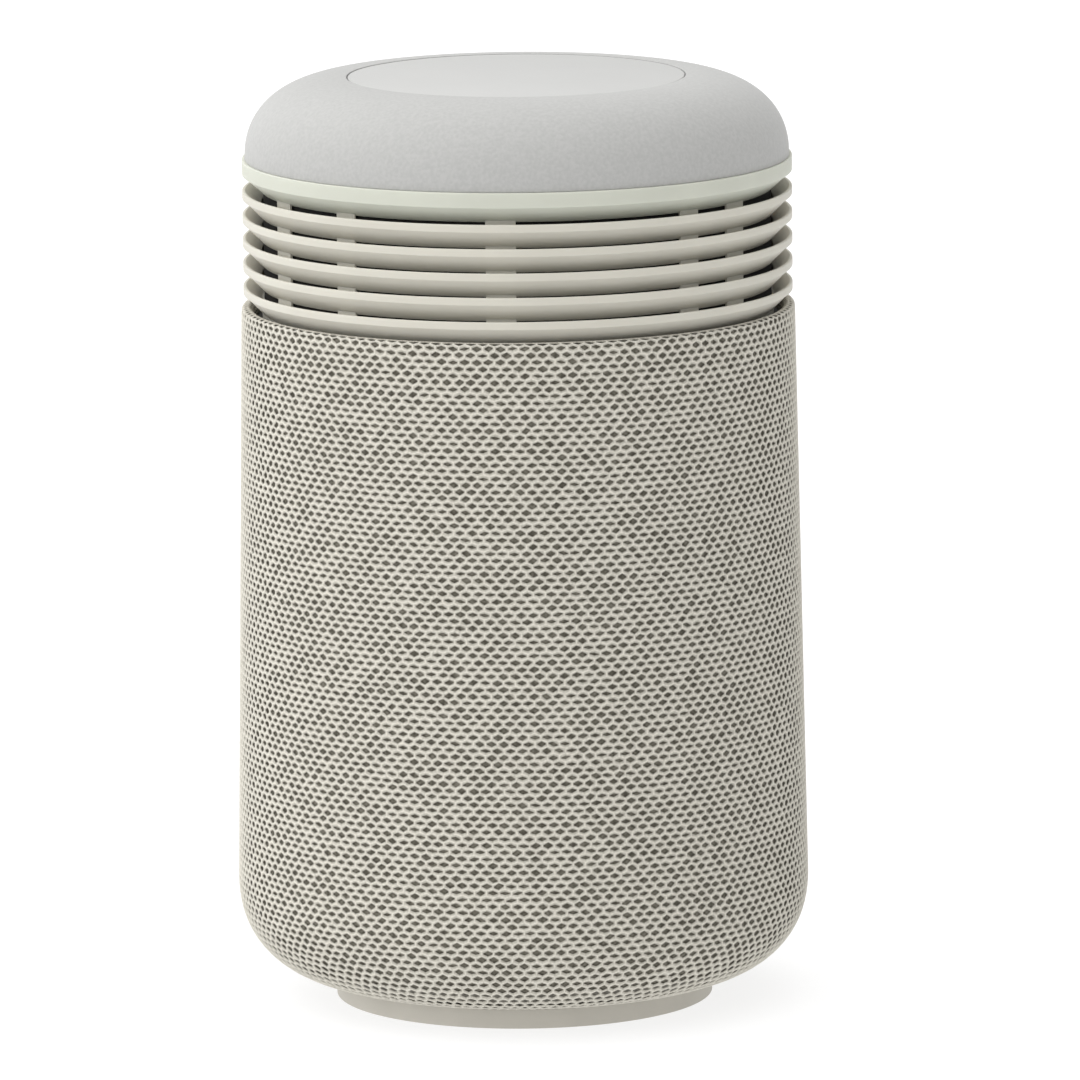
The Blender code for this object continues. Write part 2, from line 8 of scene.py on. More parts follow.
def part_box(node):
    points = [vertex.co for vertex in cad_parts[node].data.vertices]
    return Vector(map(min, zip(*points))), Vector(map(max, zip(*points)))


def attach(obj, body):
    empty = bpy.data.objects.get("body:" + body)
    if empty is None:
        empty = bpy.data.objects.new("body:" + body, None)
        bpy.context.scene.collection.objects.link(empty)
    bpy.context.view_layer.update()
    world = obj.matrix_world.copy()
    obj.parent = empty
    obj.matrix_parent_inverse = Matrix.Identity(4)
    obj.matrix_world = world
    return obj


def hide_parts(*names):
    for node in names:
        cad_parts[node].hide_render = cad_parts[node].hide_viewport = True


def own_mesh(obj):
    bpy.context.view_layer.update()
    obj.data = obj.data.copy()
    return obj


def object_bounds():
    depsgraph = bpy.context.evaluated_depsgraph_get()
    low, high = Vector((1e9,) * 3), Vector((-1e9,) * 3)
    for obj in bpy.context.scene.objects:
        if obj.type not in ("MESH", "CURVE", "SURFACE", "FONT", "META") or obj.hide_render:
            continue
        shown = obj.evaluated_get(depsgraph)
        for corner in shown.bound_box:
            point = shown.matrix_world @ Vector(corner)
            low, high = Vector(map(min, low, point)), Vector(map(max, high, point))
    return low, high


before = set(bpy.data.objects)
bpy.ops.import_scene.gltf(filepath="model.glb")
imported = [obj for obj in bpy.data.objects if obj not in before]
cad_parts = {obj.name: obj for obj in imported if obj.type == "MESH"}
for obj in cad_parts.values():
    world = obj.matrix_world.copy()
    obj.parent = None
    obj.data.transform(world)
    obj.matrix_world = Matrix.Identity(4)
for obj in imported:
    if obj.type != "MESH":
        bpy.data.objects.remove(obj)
cad_low, cad_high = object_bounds()

# ---------------------------------------------------------------- foot ring
# The silicone ring that the speaker stands on, moulded in one piece with a soft edge and pressed
# onto the rim of the underside cover. A channel at the back lets the power lead out.
MM = 0.001
BODY = "chassis"
foot_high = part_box("foot_ring")[1]
FOOT_R = foot_high.x / MM
FOOT_IN_R = 34.0
FOOT_H = foot_high.z / MM
CHANNEL_HALF = 4.0
INLET_Y = 14.0
SILICONE_GREY = (199, 195, 185)


def pigment(red, green, blue):
    """Colour of a dyed or moulded piece, from display values of 0 to 255."""
    linear = [((c / 255 + 0.055) / 1.055) ** 2.4 for c in (red, green, blue)]
    return (linear[0], linear[1], linear[2], 1.0)


def shaded(colour, share):
    """The same colour, lighter or darker."""
    return (min(colour[0] * share, 1), min(colour[1] * share, 1), min(colour[2] * share, 1), 1.0)


def noise_in(finish, size, detail=3.0):
    """Noise that lies in the piece itself, with features of one size in millimetres."""
    nodes, links = finish.node_tree.nodes, finish.node_tree.links
    place = nodes.new("ShaderNodeTexCoord")
    noise = nodes.new("ShaderNodeTexNoise")
    noise.inputs["Scale"].default_value = 1 / (size * MM)
    noise.inputs["Detail"].default_value = detail
    links.new(place.outputs["Object"], noise.inputs["Vector"])
    return noise.outputs["Fac"]


def spread(finish, value, low, high, start=0.3, end=0.7):
    """Maps a noise value, which stays near the middle, onto a wanted range."""
    nodes, links = finish.node_tree.nodes, finish.node_tree.links
    ranged = nodes.new("ShaderNodeMapRange")
    ranged.inputs["From Min"].default_value = start
    ranged.inputs["From Max"].default_value = end
    ranged.inputs["To Min"].default_value = low
    ranged.inputs["To Max"].default_value = high
    links.new(value, ranged.inputs["Value"])
    return ranged.outputs["Result"]


def blended(finish, amount, first, second):
    """Colour between two others, each a plain colour or the output of a node."""
    nodes, links = finish.node_tree.nodes, finish.node_tree.links
    mix = nodes.new("ShaderNodeMix")
    mix.data_type = "RGBA"
    links.new(amount, mix.inputs["Factor"])
    for name, colour in (("A", first), ("B", second)):
        socket = [s for s in mix.inputs if s.name == name and s.type == "RGBA"][0]
        if isinstance(colour, tuple):
            socket.default_value = colour
        else:
            links.new(colour, socket)
    return [s for s in mix.outputs if s.type == "RGBA"][0]


def raised(finish, height, depth):
    """Relief of one depth in millimetres, from a value of 0 to 1."""
    nodes, links = finish.node_tree.nodes, finish.node_tree.links
    bump = nodes.new("ShaderNodeBump")
    bump.inputs["Distance"].default_value = depth * MM
    links.new(height, bump.inputs["Height"])
    links.new(bump.outputs["Normal"], finish.node_tree.nodes["Principled BSDF"].inputs["Normal"])


def surface(name, colour, roughness, drift=0.05, cloud=6.0, grain=0.35, depth=0.01, metallic=0.0,
            sheen=0.0):
    """Moulded, coated or machined surface: a colour that drifts a little in clouds, and a fine grain.
    cloud, grain and depth are in millimetres."""
    finish = bpy.data.materials.new(name)
    finish.use_nodes = True
    links = finish.node_tree.links
    shader = finish.node_tree.nodes["Principled BSDF"]
    shader.inputs["Metallic"].default_value = metallic
    shader.inputs["Sheen Weight"].default_value = sheen
    drifting = spread(finish, noise_in(finish, cloud), 0, 1)
    base = pigment(*colour)
    tone = blended(finish, drifting, shaded(base, 1 - drift), shaded(base, 1 + drift))
    links.new(tone, shader.inputs["Base Color"])
    fine = noise_in(finish, grain, 5.0)
    links.new(spread(finish, fine, roughness - 0.06, roughness + 0.06), shader.inputs["Roughness"])
    raised(finish, fine, depth)
    return finish


def rounded(outline, arc_steps=4):
    """Outline with an arc at each corner that gives a radius after its two coordinates."""
    points = []
    for i, corner in enumerate(outline):
        here = Vector(corner[:2])
        if len(corner) < 3:
            points.append(here)
            continue
        back = (Vector(outline[i - 1][:2]) - here).normalized()
        ahead = (Vector(outline[(i + 1) % len(outline)][:2]) - here).normalized()
        half = back.angle(ahead) / 2
        centre = here + (back + ahead).normalized() * (corner[2] / sin(half))
        first = here + back * (corner[2] / tan(half)) - centre
        last = here + ahead * (corner[2] / tan(half)) - centre
        sweep = atan2(first.x * last.y - first.y * last.x, first.dot(last))
        for step in range(arc_steps + 1):
            a = sweep * step / arc_steps
            turned_by = (first.x * cos(a) - first.y * sin(a), first.x * sin(a) + first.y * cos(a))
            points.append(centre + Vector(turned_by))
    return points


def piece_from(name, shape):
    """Object made from a finished shape, smooth except at its real edges."""
    bmesh.ops.recalc_face_normals(shape, faces=shape.faces)
    mesh = bpy.data.meshes.new(name)
    shape.to_mesh(mesh)
    shape.free()
    mesh.shade_smooth()
    mesh.set_sharp_from_angle(angle=radians(35))
    piece = bpy.data.objects.new(name, mesh)
    bpy.context.scene.collection.objects.link(piece)
    return piece


def turned_shape(outline, steps=256):
    """Closed outline of (radius, height) in millimetres, turned about the upright axis."""
    shape = bmesh.new()
    verts = [shape.verts.new((p.x * MM, 0, p.y * MM)) for p in rounded(outline)]
    edges = [shape.edges.new(pair) for pair in zip(verts, verts[1:] + verts[:1])
             if pair[0].co.x > 0 or pair[1].co.x > 0]
    bmesh.ops.spin(shape, geom=verts + edges, cent=(0, 0, 0), axis=(0, 0, 1), angle=2 * pi, steps=steps,
                   use_merge=True)
    bmesh.ops.remove_doubles(shape, verts=shape.verts, dist=0.0001 * MM)
    return shape


def turned(name, outline, steps=256, at=(0, 0)):
    """Turned piece, moved sideways to where it stands."""
    shape = turned_shape(outline, steps)
    bmesh.ops.translate(shape, verts=shape.verts, vec=(at[0] * MM, at[1] * MM, 0))
    return piece_from(name, shape)


def boxed(name, low, high):
    """Square-edged block between two corners, in millimetres: a blank or a cutter."""
    shape = bmesh.new()
    size = [(h - l) * MM for l, h in zip(low, high)]
    middle = [(h + l) / 2 * MM for l, h in zip(low, high)]
    place = Matrix.Translation(middle) @ Matrix.Diagonal((*size, 1))
    bmesh.ops.create_cube(shape, size=1, matrix=place)
    return piece_from(name, shape)


def carved(piece, cutters, soft):
    """Cuts the cutters from a piece, and softens every edge by one width."""
    for cutter in cutters:
        step = piece.modifiers.new("carve", "BOOLEAN")
        step.object = cutter
    edge = piece.modifiers.new("soft_edges", "BEVEL")
    edge.width = soft * MM
    edge.segments = 3
    edge.limit_method = "ANGLE"
    edge.angle_limit = radians(40)
    even = piece.modifiers.new("even_shading", "WEIGHTED_NORMAL")
    even.keep_sharp = True
    bpy.context.view_layer.update()
    ready = piece.evaluated_get(bpy.context.evaluated_depsgraph_get())
    mesh = bpy.data.meshes.new_from_object(ready)
    piece.modifiers.clear()
    piece.data = mesh
    for cutter in cutters:
        bpy.data.objects.remove(cutter)
    return piece


def fit(piece, finish, slot, body, *nodes):
    """Gives a piece its finish, fixes it to its body, and lets it stand for its CAD nodes."""
    piece.data.materials.clear()
    piece.data.materials.append(finish)
    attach(piece, body)
    if nodes:
        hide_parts(*nodes)
    return piece


def cable_channel():
    """Way out for the power lead, cut through the foot ring and the cover."""
    return boxed("channel", (-CHANNEL_HALF, INLET_Y, -1), (CHANNEL_HALF, FOOT_R + 2, FOOT_H + 0.2))


silicone = surface("foot_silicone", SILICONE_GREY, 0.62, drift=0.03, cloud=9, grain=0.25, depth=0.012)
FOOT = [(FOOT_IN_R, 0), (FOOT_R, 0), (FOOT_R, FOOT_H), (FOOT_IN_R, FOOT_H)]
foot = turned("silicone_foot", FOOT, steps=192)
fit(carved(foot, [cable_channel()], 0.35), silicone, "silicone", BODY, "foot_ring")

# ---------------------------------------------------------------- underside cover and its screws
# A flat moulded cover inside the foot ring, with windows for the plug, the slider and the button.
# Three pan-head screws in sunk seats hold it to the base.
COVER_R = 33.7
COVER_LOW = 1.6
SCREW_R = 28.0
SCREW_TURNS = (30, 150, 270)
CONTROL_Y = -8.0
SLIDER_X = -18.0
BUTTON_X = 18.0
COVER_GREY = (176, 173, 163)
screw_places = [(SCREW_R * cos(radians(a)), SCREW_R * sin(radians(a))) for a in SCREW_TURNS]


def driver_recess(x, y, low):
    """Six-lobed recess for the driver, sunk into a screw head from below."""
    lobes = []
    for i in range(3):
        a = radians(60 * i)
        bar = boxed("lobe", (-1.15, -0.36, low - 1), (1.15, 0.36, low + 0.55))
        bar.data.transform(Matrix.Translation((x * MM, y * MM, 0)) @ Matrix.Rotation(a, 4, "Z"))
        lobes.append(bar)
    return lobes


cover_plastic = surface("cover_plastic", COVER_GREY, 0.55, drift=0.03, grain=0.3, depth=0.02)
cover = turned("underside_cover", [(0, COVER_LOW), (COVER_R, COVER_LOW), (COVER_R, FOOT_H), (0, FOOT_H)], 192)
windows = [cable_channel(),
           boxed("plug_window", (-7, INLET_Y - 6.9, 0), (7, INLET_Y + 7, 6)),
           boxed("slider_window", (SLIDER_X - 4, CONTROL_Y - 1.7, 0), (SLIDER_X + 4, CONTROL_Y + 1.7, 6)),
           turned("button_window", [(0, 0), (2.6, 0), (2.6, 6), (0, 6)], 48, (BUTTON_X, CONTROL_Y))]
SEAT = [(0, 0), (3.2, 0), (3.2, 2.9), (1.6, 2.9), (1.6, 6), (0, 6)]
windows += [turned("screw_seat", SEAT, 48, place) for place in screw_places]
fit(carved(cover, windows, 0.2), cover_plastic, "frame_plastic", BODY, "bottom_plate")

screw_steel = surface("screw_steel", (150, 150, 152), 0.34, drift=0.08, cloud=1.5, grain=0.2, depth=0.006,
                      metallic=1.0)
HEAD = [(0, 1.8), (2.2, 1.8), (2.8, 2.3), (2.8, 2.6), (1.2, 2.6), (1.2, 13), (0, 13)]
for i, place in enumerate(screw_places):
    screw = turned("cover_screw_" + str(i + 1), HEAD, 48, place)
    carved(screw, driver_recess(*place, 1.8), 0.05)
    fit(screw, screw_steel, "steel", BODY, "base_screw_" + str(i + 1))

# ---------------------------------------------------------------- inlet, mute slider and pairing button
# The inlet is a black moulded socket with a brass pin in its round bore. The slider has a ribbed
# grip, and the button a shallow dish for a fingertip. Both stay inside the foot ring.
BLACK = (22, 22, 23)
GROOVE_PITCH, GROOVE_W = 0.75, 0.3
socket_black = surface("socket_black", BLACK, 0.5, drift=0.1, grain=0.3, depth=0.015)
socket = boxed("inlet_socket", (-9.5, INLET_Y - 9.5, FOOT_H + 0.6), (9.5, INLET_Y + 9.5, 23))
well = boxed("plug_well", (-6.7, INLET_Y - 6.7, 0), (6.7, INLET_Y + 6.7, 13))
bore = turned("plug_bore", [(0, 12), (3.2, 12), (3.2, 21.5), (0, 21.5)], 64, (0, INLET_Y))
fit(carved(socket, [well, bore], 0.3), socket_black, "black_plastic", BODY, "power_inlet")
brass = surface("contact_brass", (196, 164, 96), 0.3, drift=0.06, cloud=1.0, grain=0.15, depth=0.003,
                metallic=1.0)
pin = turned("inlet_pin", [(0, 12.6), (0.8, 12.6, 0.5), (0.8, 21.6), (0, 21.6)], 32, (0, INLET_Y))
fit(pin, brass, "steel", BODY)

slider_low, slider_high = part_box("mute_slider")
slider = boxed("mute_slide_grip", slider_low / MM, slider_high / MM)
grip_middle = (slider_low.x + slider_high.x) / 2 / MM
grooves = []
for i in (-1, 0, 1):
    left = grip_middle + GROOVE_PITCH * i - GROOVE_W / 2
    grooves.append(boxed("groove", (left, CONTROL_Y - 3, 0), (left + GROOVE_W, CONTROL_Y + 3, 1.65)))
fit(carved(slider, grooves, 0.12), socket_black, "black_plastic", "mute_slider", "mute_slider")

key_plastic = surface("key_plastic", COVER_GREY, 0.5, drift=0.03, grain=0.3, depth=0.01)
KEY = [(0, 2.15), (1.2, 2.05), (1.7, 1.9, 0.3), (2.2, 1.9, 0.2), (2.2, 4.6), (3.2, 4.6, 0.2), (3.2, 6.4, 0.2),
       (1.2, 6.4), (1.2, 12.0), (0, 12.0)]
key = turned("pairing_key", KEY, 64, (BUTTON_X, CONTROL_Y))
fit(key, key_plastic, "frame_plastic", "pair_button", "pair_button")

# ---------------------------------------------------------------- base and main electronics
# Under the knit the base is a moulded bowl. It holds the main circuit board, a finned sink, two
# capacitors, a shielded radio module and the switches that the slider and the button work.
PLASTIC_GREY = (150, 146, 136)


def dress(finish, *nodes):
    """Gives CAD nodes that keep their own shape a finish."""
    for node in nodes:
        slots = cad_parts[node].material_slots
        if not slots:
            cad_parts[node].data.materials.append(finish)
        for slot in slots:
            slot.material = finish


def board_mask():
    """Green solder mask over copper tracks that run in short square steps."""
    finish = surface("board_mask", (26, 84, 58), 0.32, drift=0.08, grain=0.5, depth=0.01)
    nodes, links = finish.node_tree.nodes, finish.node_tree.links
    place = nodes.new("ShaderNodeTexCoord")
    tracks = nodes.new("ShaderNodeTexVoronoi")
    tracks.distance = "CHEBYCHEV"
    tracks.feature = "DISTANCE_TO_EDGE"
    tracks.inputs["Scale"].default_value = 1 / (2.4 * MM)
    links.new(place.outputs["Object"], tracks.inputs["Vector"])
    line = spread(finish, tracks.outputs["Distance"], 1, 0, 0.06, 0.09)
    tone = blended(finish, line, pigment(24, 80, 54), pigment(58, 122, 84))
    links.new(tone, finish.node_tree.nodes["Principled BSDF"].inputs["Base Color"])
    raised(finish, line, 0.03)
    return finish


frame_grey = surface("base_plastic", PLASTIC_GREY, 0.6, drift=0.04, grain=0.5, depth=0.02)
black_plastic = surface("black_plastic", BLACK, 0.55, drift=0.12, grain=0.4, depth=0.02)
plated_steel = surface("plated_steel", (158, 158, 162), 0.36, drift=0.07, cloud=3, grain=0.2, depth=0.005,
                       metallic=1.0)
circuit_board = board_mask()
dress(frame_grey, "base_pan", "grille_former")
dress(circuit_board, "main_board", "top_board")
dress(plated_steel, "heat_sink", "radio_module", "mute_switch", "core_screw_1", "core_screw_2",
      "core_screw_3")
dress(black_plastic, "pair_switch", "capacitor_1", "capacitor_2", "disc_switch", "cap_frame")
harness_jacket = surface("harness_jacket", (120, 62, 44), 0.5, drift=0.15, cloud=2, grain=0.4, depth=0.03)
dress(harness_jacket, "wire_harness")

# ---------------------------------------------------------------- sealed chamber and drivers
# A stiff black chamber with a foam gasket and a lid. It carries a woofer that fires up, a tweeter
# at the front, and a passive radiator on each side in a rubber surround.


def pressed_pulp():
    """Black paper pulp, pressed with its fibres lying every way."""
    return surface("cone_pulp", (34, 33, 32), 0.85, drift=0.2, cloud=2, grain=0.3, depth=0.06)


def woven_spider():
    """Resin-stiffened cloth with a round corrugation every few millimetres."""
    finish = surface("spider_cloth", (170, 128, 66), 0.8, drift=0.1, cloud=1, grain=0.3, depth=0.03)
    nodes, links = finish.node_tree.nodes, finish.node_tree.links
    place = nodes.new("ShaderNodeTexCoord")
    rings = nodes.new("ShaderNodeTexWave")
    rings.wave_type = "RINGS"
    rings.rings_direction = "Z"
    rings.inputs["Scale"].default_value = 1 / (12 * MM)
    links.new(place.outputs["Object"], rings.inputs["Vector"])
    raised(finish, rings.outputs["Fac"], 0.4)
    return finish


def wound_wire():
    """Enamelled copper wire, wound in level turns."""
    finish = surface("coil_wire", (176, 96, 58), 0.35, drift=0.08, cloud=1, grain=0.2, metallic=1.0)
    nodes, links = finish.node_tree.nodes, finish.node_tree.links
    place = nodes.new("ShaderNodeTexCoord")
    turns = nodes.new("ShaderNodeTexWave")
    turns.bands_direction = "Z"
    turns.inputs["Scale"].default_value = 1 / (1.2 * MM)
    links.new(place.outputs["Object"], turns.inputs["Vector"])
    raised(finish, turns.outputs["Fac"], 0.1)
    return finish


def open_foam():
    """Closed-cell foam strip with small round pores."""
    finish = surface("gasket_foam", (44, 44, 45), 0.95, drift=0.2, cloud=1, grain=0.3, depth=0.05)
    nodes, links = finish.node_tree.nodes, finish.node_tree.links
    place = nodes.new("ShaderNodeTexCoord")
    pores = nodes.new("ShaderNodeTexVoronoi")
    pores.inputs["Scale"].default_value = 1 / (0.5 * MM)
    links.new(place.outputs["Object"], pores.inputs["Vector"])
    raised(finish, pores.outputs["Distance"], 0.15)
    return finish


pulp = pressed_pulp()
rubber = surface("surround_rubber", (30, 30, 31), 0.7, drift=0.1, cloud=4, grain=0.2, depth=0.01)
ferrite = surface("magnet_ferrite", (62, 61, 62), 0.7, drift=0.12, cloud=3, grain=0.3, depth=0.03)
dress(black_plastic, "speaker_chamber", "top_baffle", "left_radiator_frame", "right_radiator_frame",
      "tweeter_can", "tweeter_faceplate", "woofer_basket", "waveguide")
dress(plated_steel, "woofer_yoke", "woofer_top_plate", "left_radiator_plate", "right_radiator_plate")
dress(ferrite, "woofer_magnet", "tweeter_magnet")
dress(rubber, "woofer_surround", "left_radiator_surround", "right_radiator_surround")
dress(pulp, "woofer_cone", "dust_cap")
dress(woven_spider(), "woofer_spider")
dress(wound_wire(), "voice_coil")
dress(open_foam(), "chamber_gasket")
dome_silk = surface("dome_silk", (40, 38, 36), 0.75, drift=0.1, cloud=1, grain=0.12, depth=0.02)
dress(dome_silk, "tweeter_dome")

# ---------------------------------------------------------------- knit cover
# A tube of open spacer knit: a pale net of doubled yarn over a darker ground that shows through
# its eyes. The yarn's flanks are painted darker as shade, and the ground's colour is partly its own
# and partly painted shade. It is stretched over the slotted former, tucked in under the base and
# folded over the former's lip. Each row is set half a column off the one below it.
knit_low, knit_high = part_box("knit_sleeve")
BARREL_R = knit_high.x / MM             # widest radius
WIDE_Z = 26.9                           # height where it is widest
HEM_R = 38.8                            # where the knit goes in under the base
HEM_Z = knit_low.z / MM
CORNER_POWER = 2.24                     # squareness of the lower corner
RIM_TOP_R = 60.5
FOLD_Z = knit_high.z / MM               # top of the fold
FOLD_IN_R = 57.9
FOLD_RISE = 0.9
FOLD_DEPTH = 2.4                        # how far the folded edge goes down inside
COLUMNS = 147
ROW = 1.475                             # row to row, up the wall
ROW_STRETCH = 0.0022                    # how much longer rows get round the corner, per mm squared
EYE_HALF_W = 0.365                      # half width of an eye, as a share of a column
EYE_HALF_H = 0.43                      # half height of an eye, as a share of a row
YARN_DEPTH = 0.28                       # how far an eye's edge lies in from the crests
GROUND_DEPTH = 0.5
GROUND_RINGS = 150
GROUND_FROM = 0.42                      # where the ground starts, as a share of the way to the hem
SLOPE_STEP = 0.3                        # length over which the knit's slope is read
YARN_PALE = (222, 218, 207)
# painted shade: the darker colour given to the yarn's flanks, towards the eyes
YARN_FLANK_SHADE = (163, 159, 147)
# partly the ground's own dark colour, partly painted shade in the eyes
GROUND_DARK_AND_SHADE = (84, 80, 70)
GROUND_LIGHT = (132, 128, 116)


def barrel_line():
    """The knit's path from the hem, round the corner, up the wall and over the fold, in millimetres,
    with the distance along it, which is 0 at the foot of the wall."""
    line = []
    for a in np.linspace(0, pi / 2, 240):
        line.append((HEM_R + (BARREL_R - HEM_R) * sin(a) ** (2 / CORNER_POWER),
                     WIDE_Z - (WIDE_Z - HEM_Z) * abs(cos(a)) ** (2 / CORNER_POWER)))
    wall_from = len(line) - 1
    middle, half = (RIM_TOP_R + FOLD_IN_R) / 2, (RIM_TOP_R - FOLD_IN_R) / 2
    for share in np.linspace(0, 1, 40)[1:]:
        line.append((BARREL_R + (RIM_TOP_R - BARREL_R) * share,
                     WIDE_Z + (FOLD_Z - FOLD_RISE - WIDE_Z) * share))
    for a in np.linspace(0, pi, 24)[1:]:
        line.append((middle + half * cos(a), FOLD_Z - FOLD_RISE + FOLD_RISE * sin(a)))
    line.append((FOLD_IN_R, FOLD_Z - FOLD_RISE - FOLD_DEPTH))
    line = np.array(line)
    along = np.concatenate([[0], np.cumsum(np.hypot(*np.diff(line, axis=0).T))])
    return line, along - along[wall_from]


barrel, barrel_along = barrel_line()


def row_place(row):
    """Distance along the knit at a row number, which may be a fraction; row 0 is the foot of the wall."""
    rate = sqrt(ROW * ROW_STRETCH)
    return np.where(row >= 0, row * ROW, sqrt(ROW / ROW_STRETCH) * np.tan(rate * np.minimum(row, 0)))


def on_barrel(column, row, inset):
    """Points on the knit at column and row numbers, set in from its surface, in metres."""
    s = row_place(np.asarray(row, float))
    r, z = (np.interp(s, barrel_along, barrel[:, i]) for i in (0, 1))
    ahead, behind = ([np.interp(s + step, barrel_along, barrel[:, i]) for i in (0, 1)]
                     for step in (SLOPE_STEP, -SLOPE_STEP))
    run, rise = ahead[0] - behind[0], ahead[1] - behind[1]
    length = np.hypot(run, rise)
    r = r - inset * rise / length
    z = z + inset * run / length
    turn = 2 * pi * np.asarray(column, float) / COLUMNS
    return np.stack([r * np.sin(turn), -r * np.cos(turn), z], axis=-1) * MM


def knit_net(seed=7):
    """One six-sided mesh of yarn round every eye. Neighbours share their crests."""
    rng = np.random.default_rng(seed)
    rate = sqrt(ROW * ROW_STRETCH)
    lowest = -int(np.arctan(-barrel_along[0] / sqrt(ROW / ROW_STRETCH)) / rate)
    highest = int(barrel_along[-1] / ROW)
    rows = np.arange(lowest, highest)
    count = len(rows)
    column = np.arange(COLUMNS)
    offset = 0.5 * (rows % 2)

    seam = np.arange(lowest, highest + 1)
    below = 0.5 * ((seam - 1) % 2)
    wander = rng.normal(0, 0.02, (2, 2, count + 1, COLUMNS))
    side, up = column + below[:, None], seam[:, None]
    low_crest = on_barrel(side + 0.5 + wander[0, 0], up - 2 / 3 + wander[0, 1], 0)
    high_crest = on_barrel(side + wander[1, 0], up - 1 / 3 + wander[1, 1], 0)
    low_at = np.arange((count + 1) * COLUMNS).reshape(count + 1, COLUMNS)
    high_at = low_at + (count + 1) * COLUMNS

    middle_x = column + offset[:, None] + rng.normal(0, 0.02, (count, COLUMNS))
    middle_y = rows[:, None] + rng.normal(0, 0.03, (count, COLUMNS))
    wide = EYE_HALF_W * rng.uniform(0.88, 1.06, (count, COLUMNS))
    tall = EYE_HALF_H * rng.uniform(0.55, 1.12, (count, COLUMNS))
    lean = rng.normal(0, 0.05, (count, COLUMNS))
    corners = [(0, 1), (1, 0.18), (1, -0.18), (0, -1), (-1, -0.18), (-1, 0.18)]
    eyes = [on_barrel(middle_x + x * wide, middle_y + y * tall + x * lean, YARN_DEPTH) for x, y in corners]
    eye_at = high_at[-1, -1] + 1 + np.arange(6 * count * COLUMNS).reshape(6, count, COLUMNS)

    faces = []
    for k in range(count):
        half = offset[k] > 0
        left = np.roll(low_at[k + 1], 1)
        bottom = low_at[k] if half else np.roll(low_at[k], 1)
        right_low = np.roll(high_at[k], -1) if half else high_at[k]
        left_low = high_at[k] if half else np.roll(high_at[k], 1)
        crests = [high_at[k + 1], low_at[k + 1], right_low, bottom, left_low, left]
        for i in range(6):
            j = (i + 1) % 6
            faces.append(np.stack([crests[j], crests[i], eye_at[i, k], eye_at[j, k]], axis=-1))
    points = np.concatenate([part.reshape(-1, 3) for part in (low_crest, high_crest, *eyes)])
    mesh = bpy.data.meshes.new("knit_net")
    mesh.from_pydata(points.tolist(), [], np.concatenate(faces).tolist())
    mesh.shade_smooth()
    # painted shade mask: 1 on the crests, 0 at the eyes' edges, where the yarn is painted darker
    crest_shade_mask = mesh.attributes.new("crest_shade_mask", "FLOAT", "POINT")
    crest_shade_mask.data.foreach_set("value", (np.arange(len(points)) < eye_at[0, 0, 0]).astype(np.float32))
    net = bpy.data.objects.new("knit_net", mesh)
    bpy.context.scene.collection.objects.link(net)
    return net


def knit_ground():
    """The darker inner face of the spacer knit, a little way in from the net, darkened partly with painted
    shade.
    """
    shape = bmesh.new()
    inside = np.linspace(barrel_along[0] / ROW * GROUND_FROM, barrel_along[-1] / ROW, GROUND_RINGS)
    around = np.arange(COLUMNS * 2) / 2
    rings = [[shape.verts.new(p) for p in on_barrel(around, np.full_like(around, row), GROUND_DEPTH)]
             for row in inside]
    for low, high in zip(rings, rings[1:]):
        for i in range(len(low)):
            shape.faces.new((low[i - 1], low[i], high[i], high[i - 1]))
    return piece_from("knit_ground", shape)


def yarn():
    """Pale doubled polyester yarn: soft, with loose fibres, and painted shade: lighter on its crests, darker
    on its flanks towards the eyes.
    """
    finish = surface("knit_yarn", YARN_PALE, 0.85, grain=0.16, depth=0.05)
    nodes, links = finish.node_tree.nodes, finish.node_tree.links
    crest_shade_mask = nodes.new("ShaderNodeAttribute")
    crest_shade_mask.attribute_name = "crest_shade_mask"
    fibre = spread(finish, noise_in(finish, 0.5, 4.0), -0.3, 0.2)
    lit = nodes.new("ShaderNodeMath")
    lit.use_clamp = True
    links.new(crest_shade_mask.outputs["Fac"], lit.inputs[0])
    links.new(fibre, lit.inputs[1])
    # painted shade: the flank colour darkens the yarn towards the eyes, and the crests stay pale
    tone = blended(finish, lit.outputs["Value"], pigment(*YARN_FLANK_SHADE), pigment(*YARN_PALE))
    links.new(tone, nodes["Principled BSDF"].inputs["Base Color"])
    return finish


def ground_yarn():
    """Dark ground of the knit, partly its own colour and partly painted shade, with lighter fibres that cross
    it here and there.
    """
    finish = surface("ground_yarn", GROUND_DARK_AND_SHADE, 0.95, grain=0.2, depth=0.1)
    links = finish.node_tree.links
    shade = spread(finish, noise_in(finish, 0.9, 4.0), 0, 1, 0.38, 0.72)
    tone = blended(finish, shade, pigment(*GROUND_DARK_AND_SHADE), pigment(*GROUND_LIGHT))
    links.new(tone, finish.node_tree.nodes["Principled BSDF"].inputs["Base Color"])
    return finish


net = knit_net()
fit(net, yarn(), "knit", BODY, "knit_sleeve")
ground = fit(knit_ground(), ground_yarn(), "knit", BODY)

# ---------------------------------------------------------------- core and its liner
# The louvre rings are stacked round a black tube with tall windows. Fine black acoustic cloth is
# wrapped tight round the tube, so the gaps between the rings look dark.
core_low, core_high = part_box("louvre_core")
LINER_R = 55.4
LINER_STEPS = 360
LINER_MARGIN = 0.6                      # how far the cloth stops short of the core's ends


def black_cloth():
    """Fine black acoustic cloth, plain woven."""
    return surface("liner_cloth", (12, 12, 12), 0.95, drift=0.15, cloud=2, grain=0.25, depth=0.05)


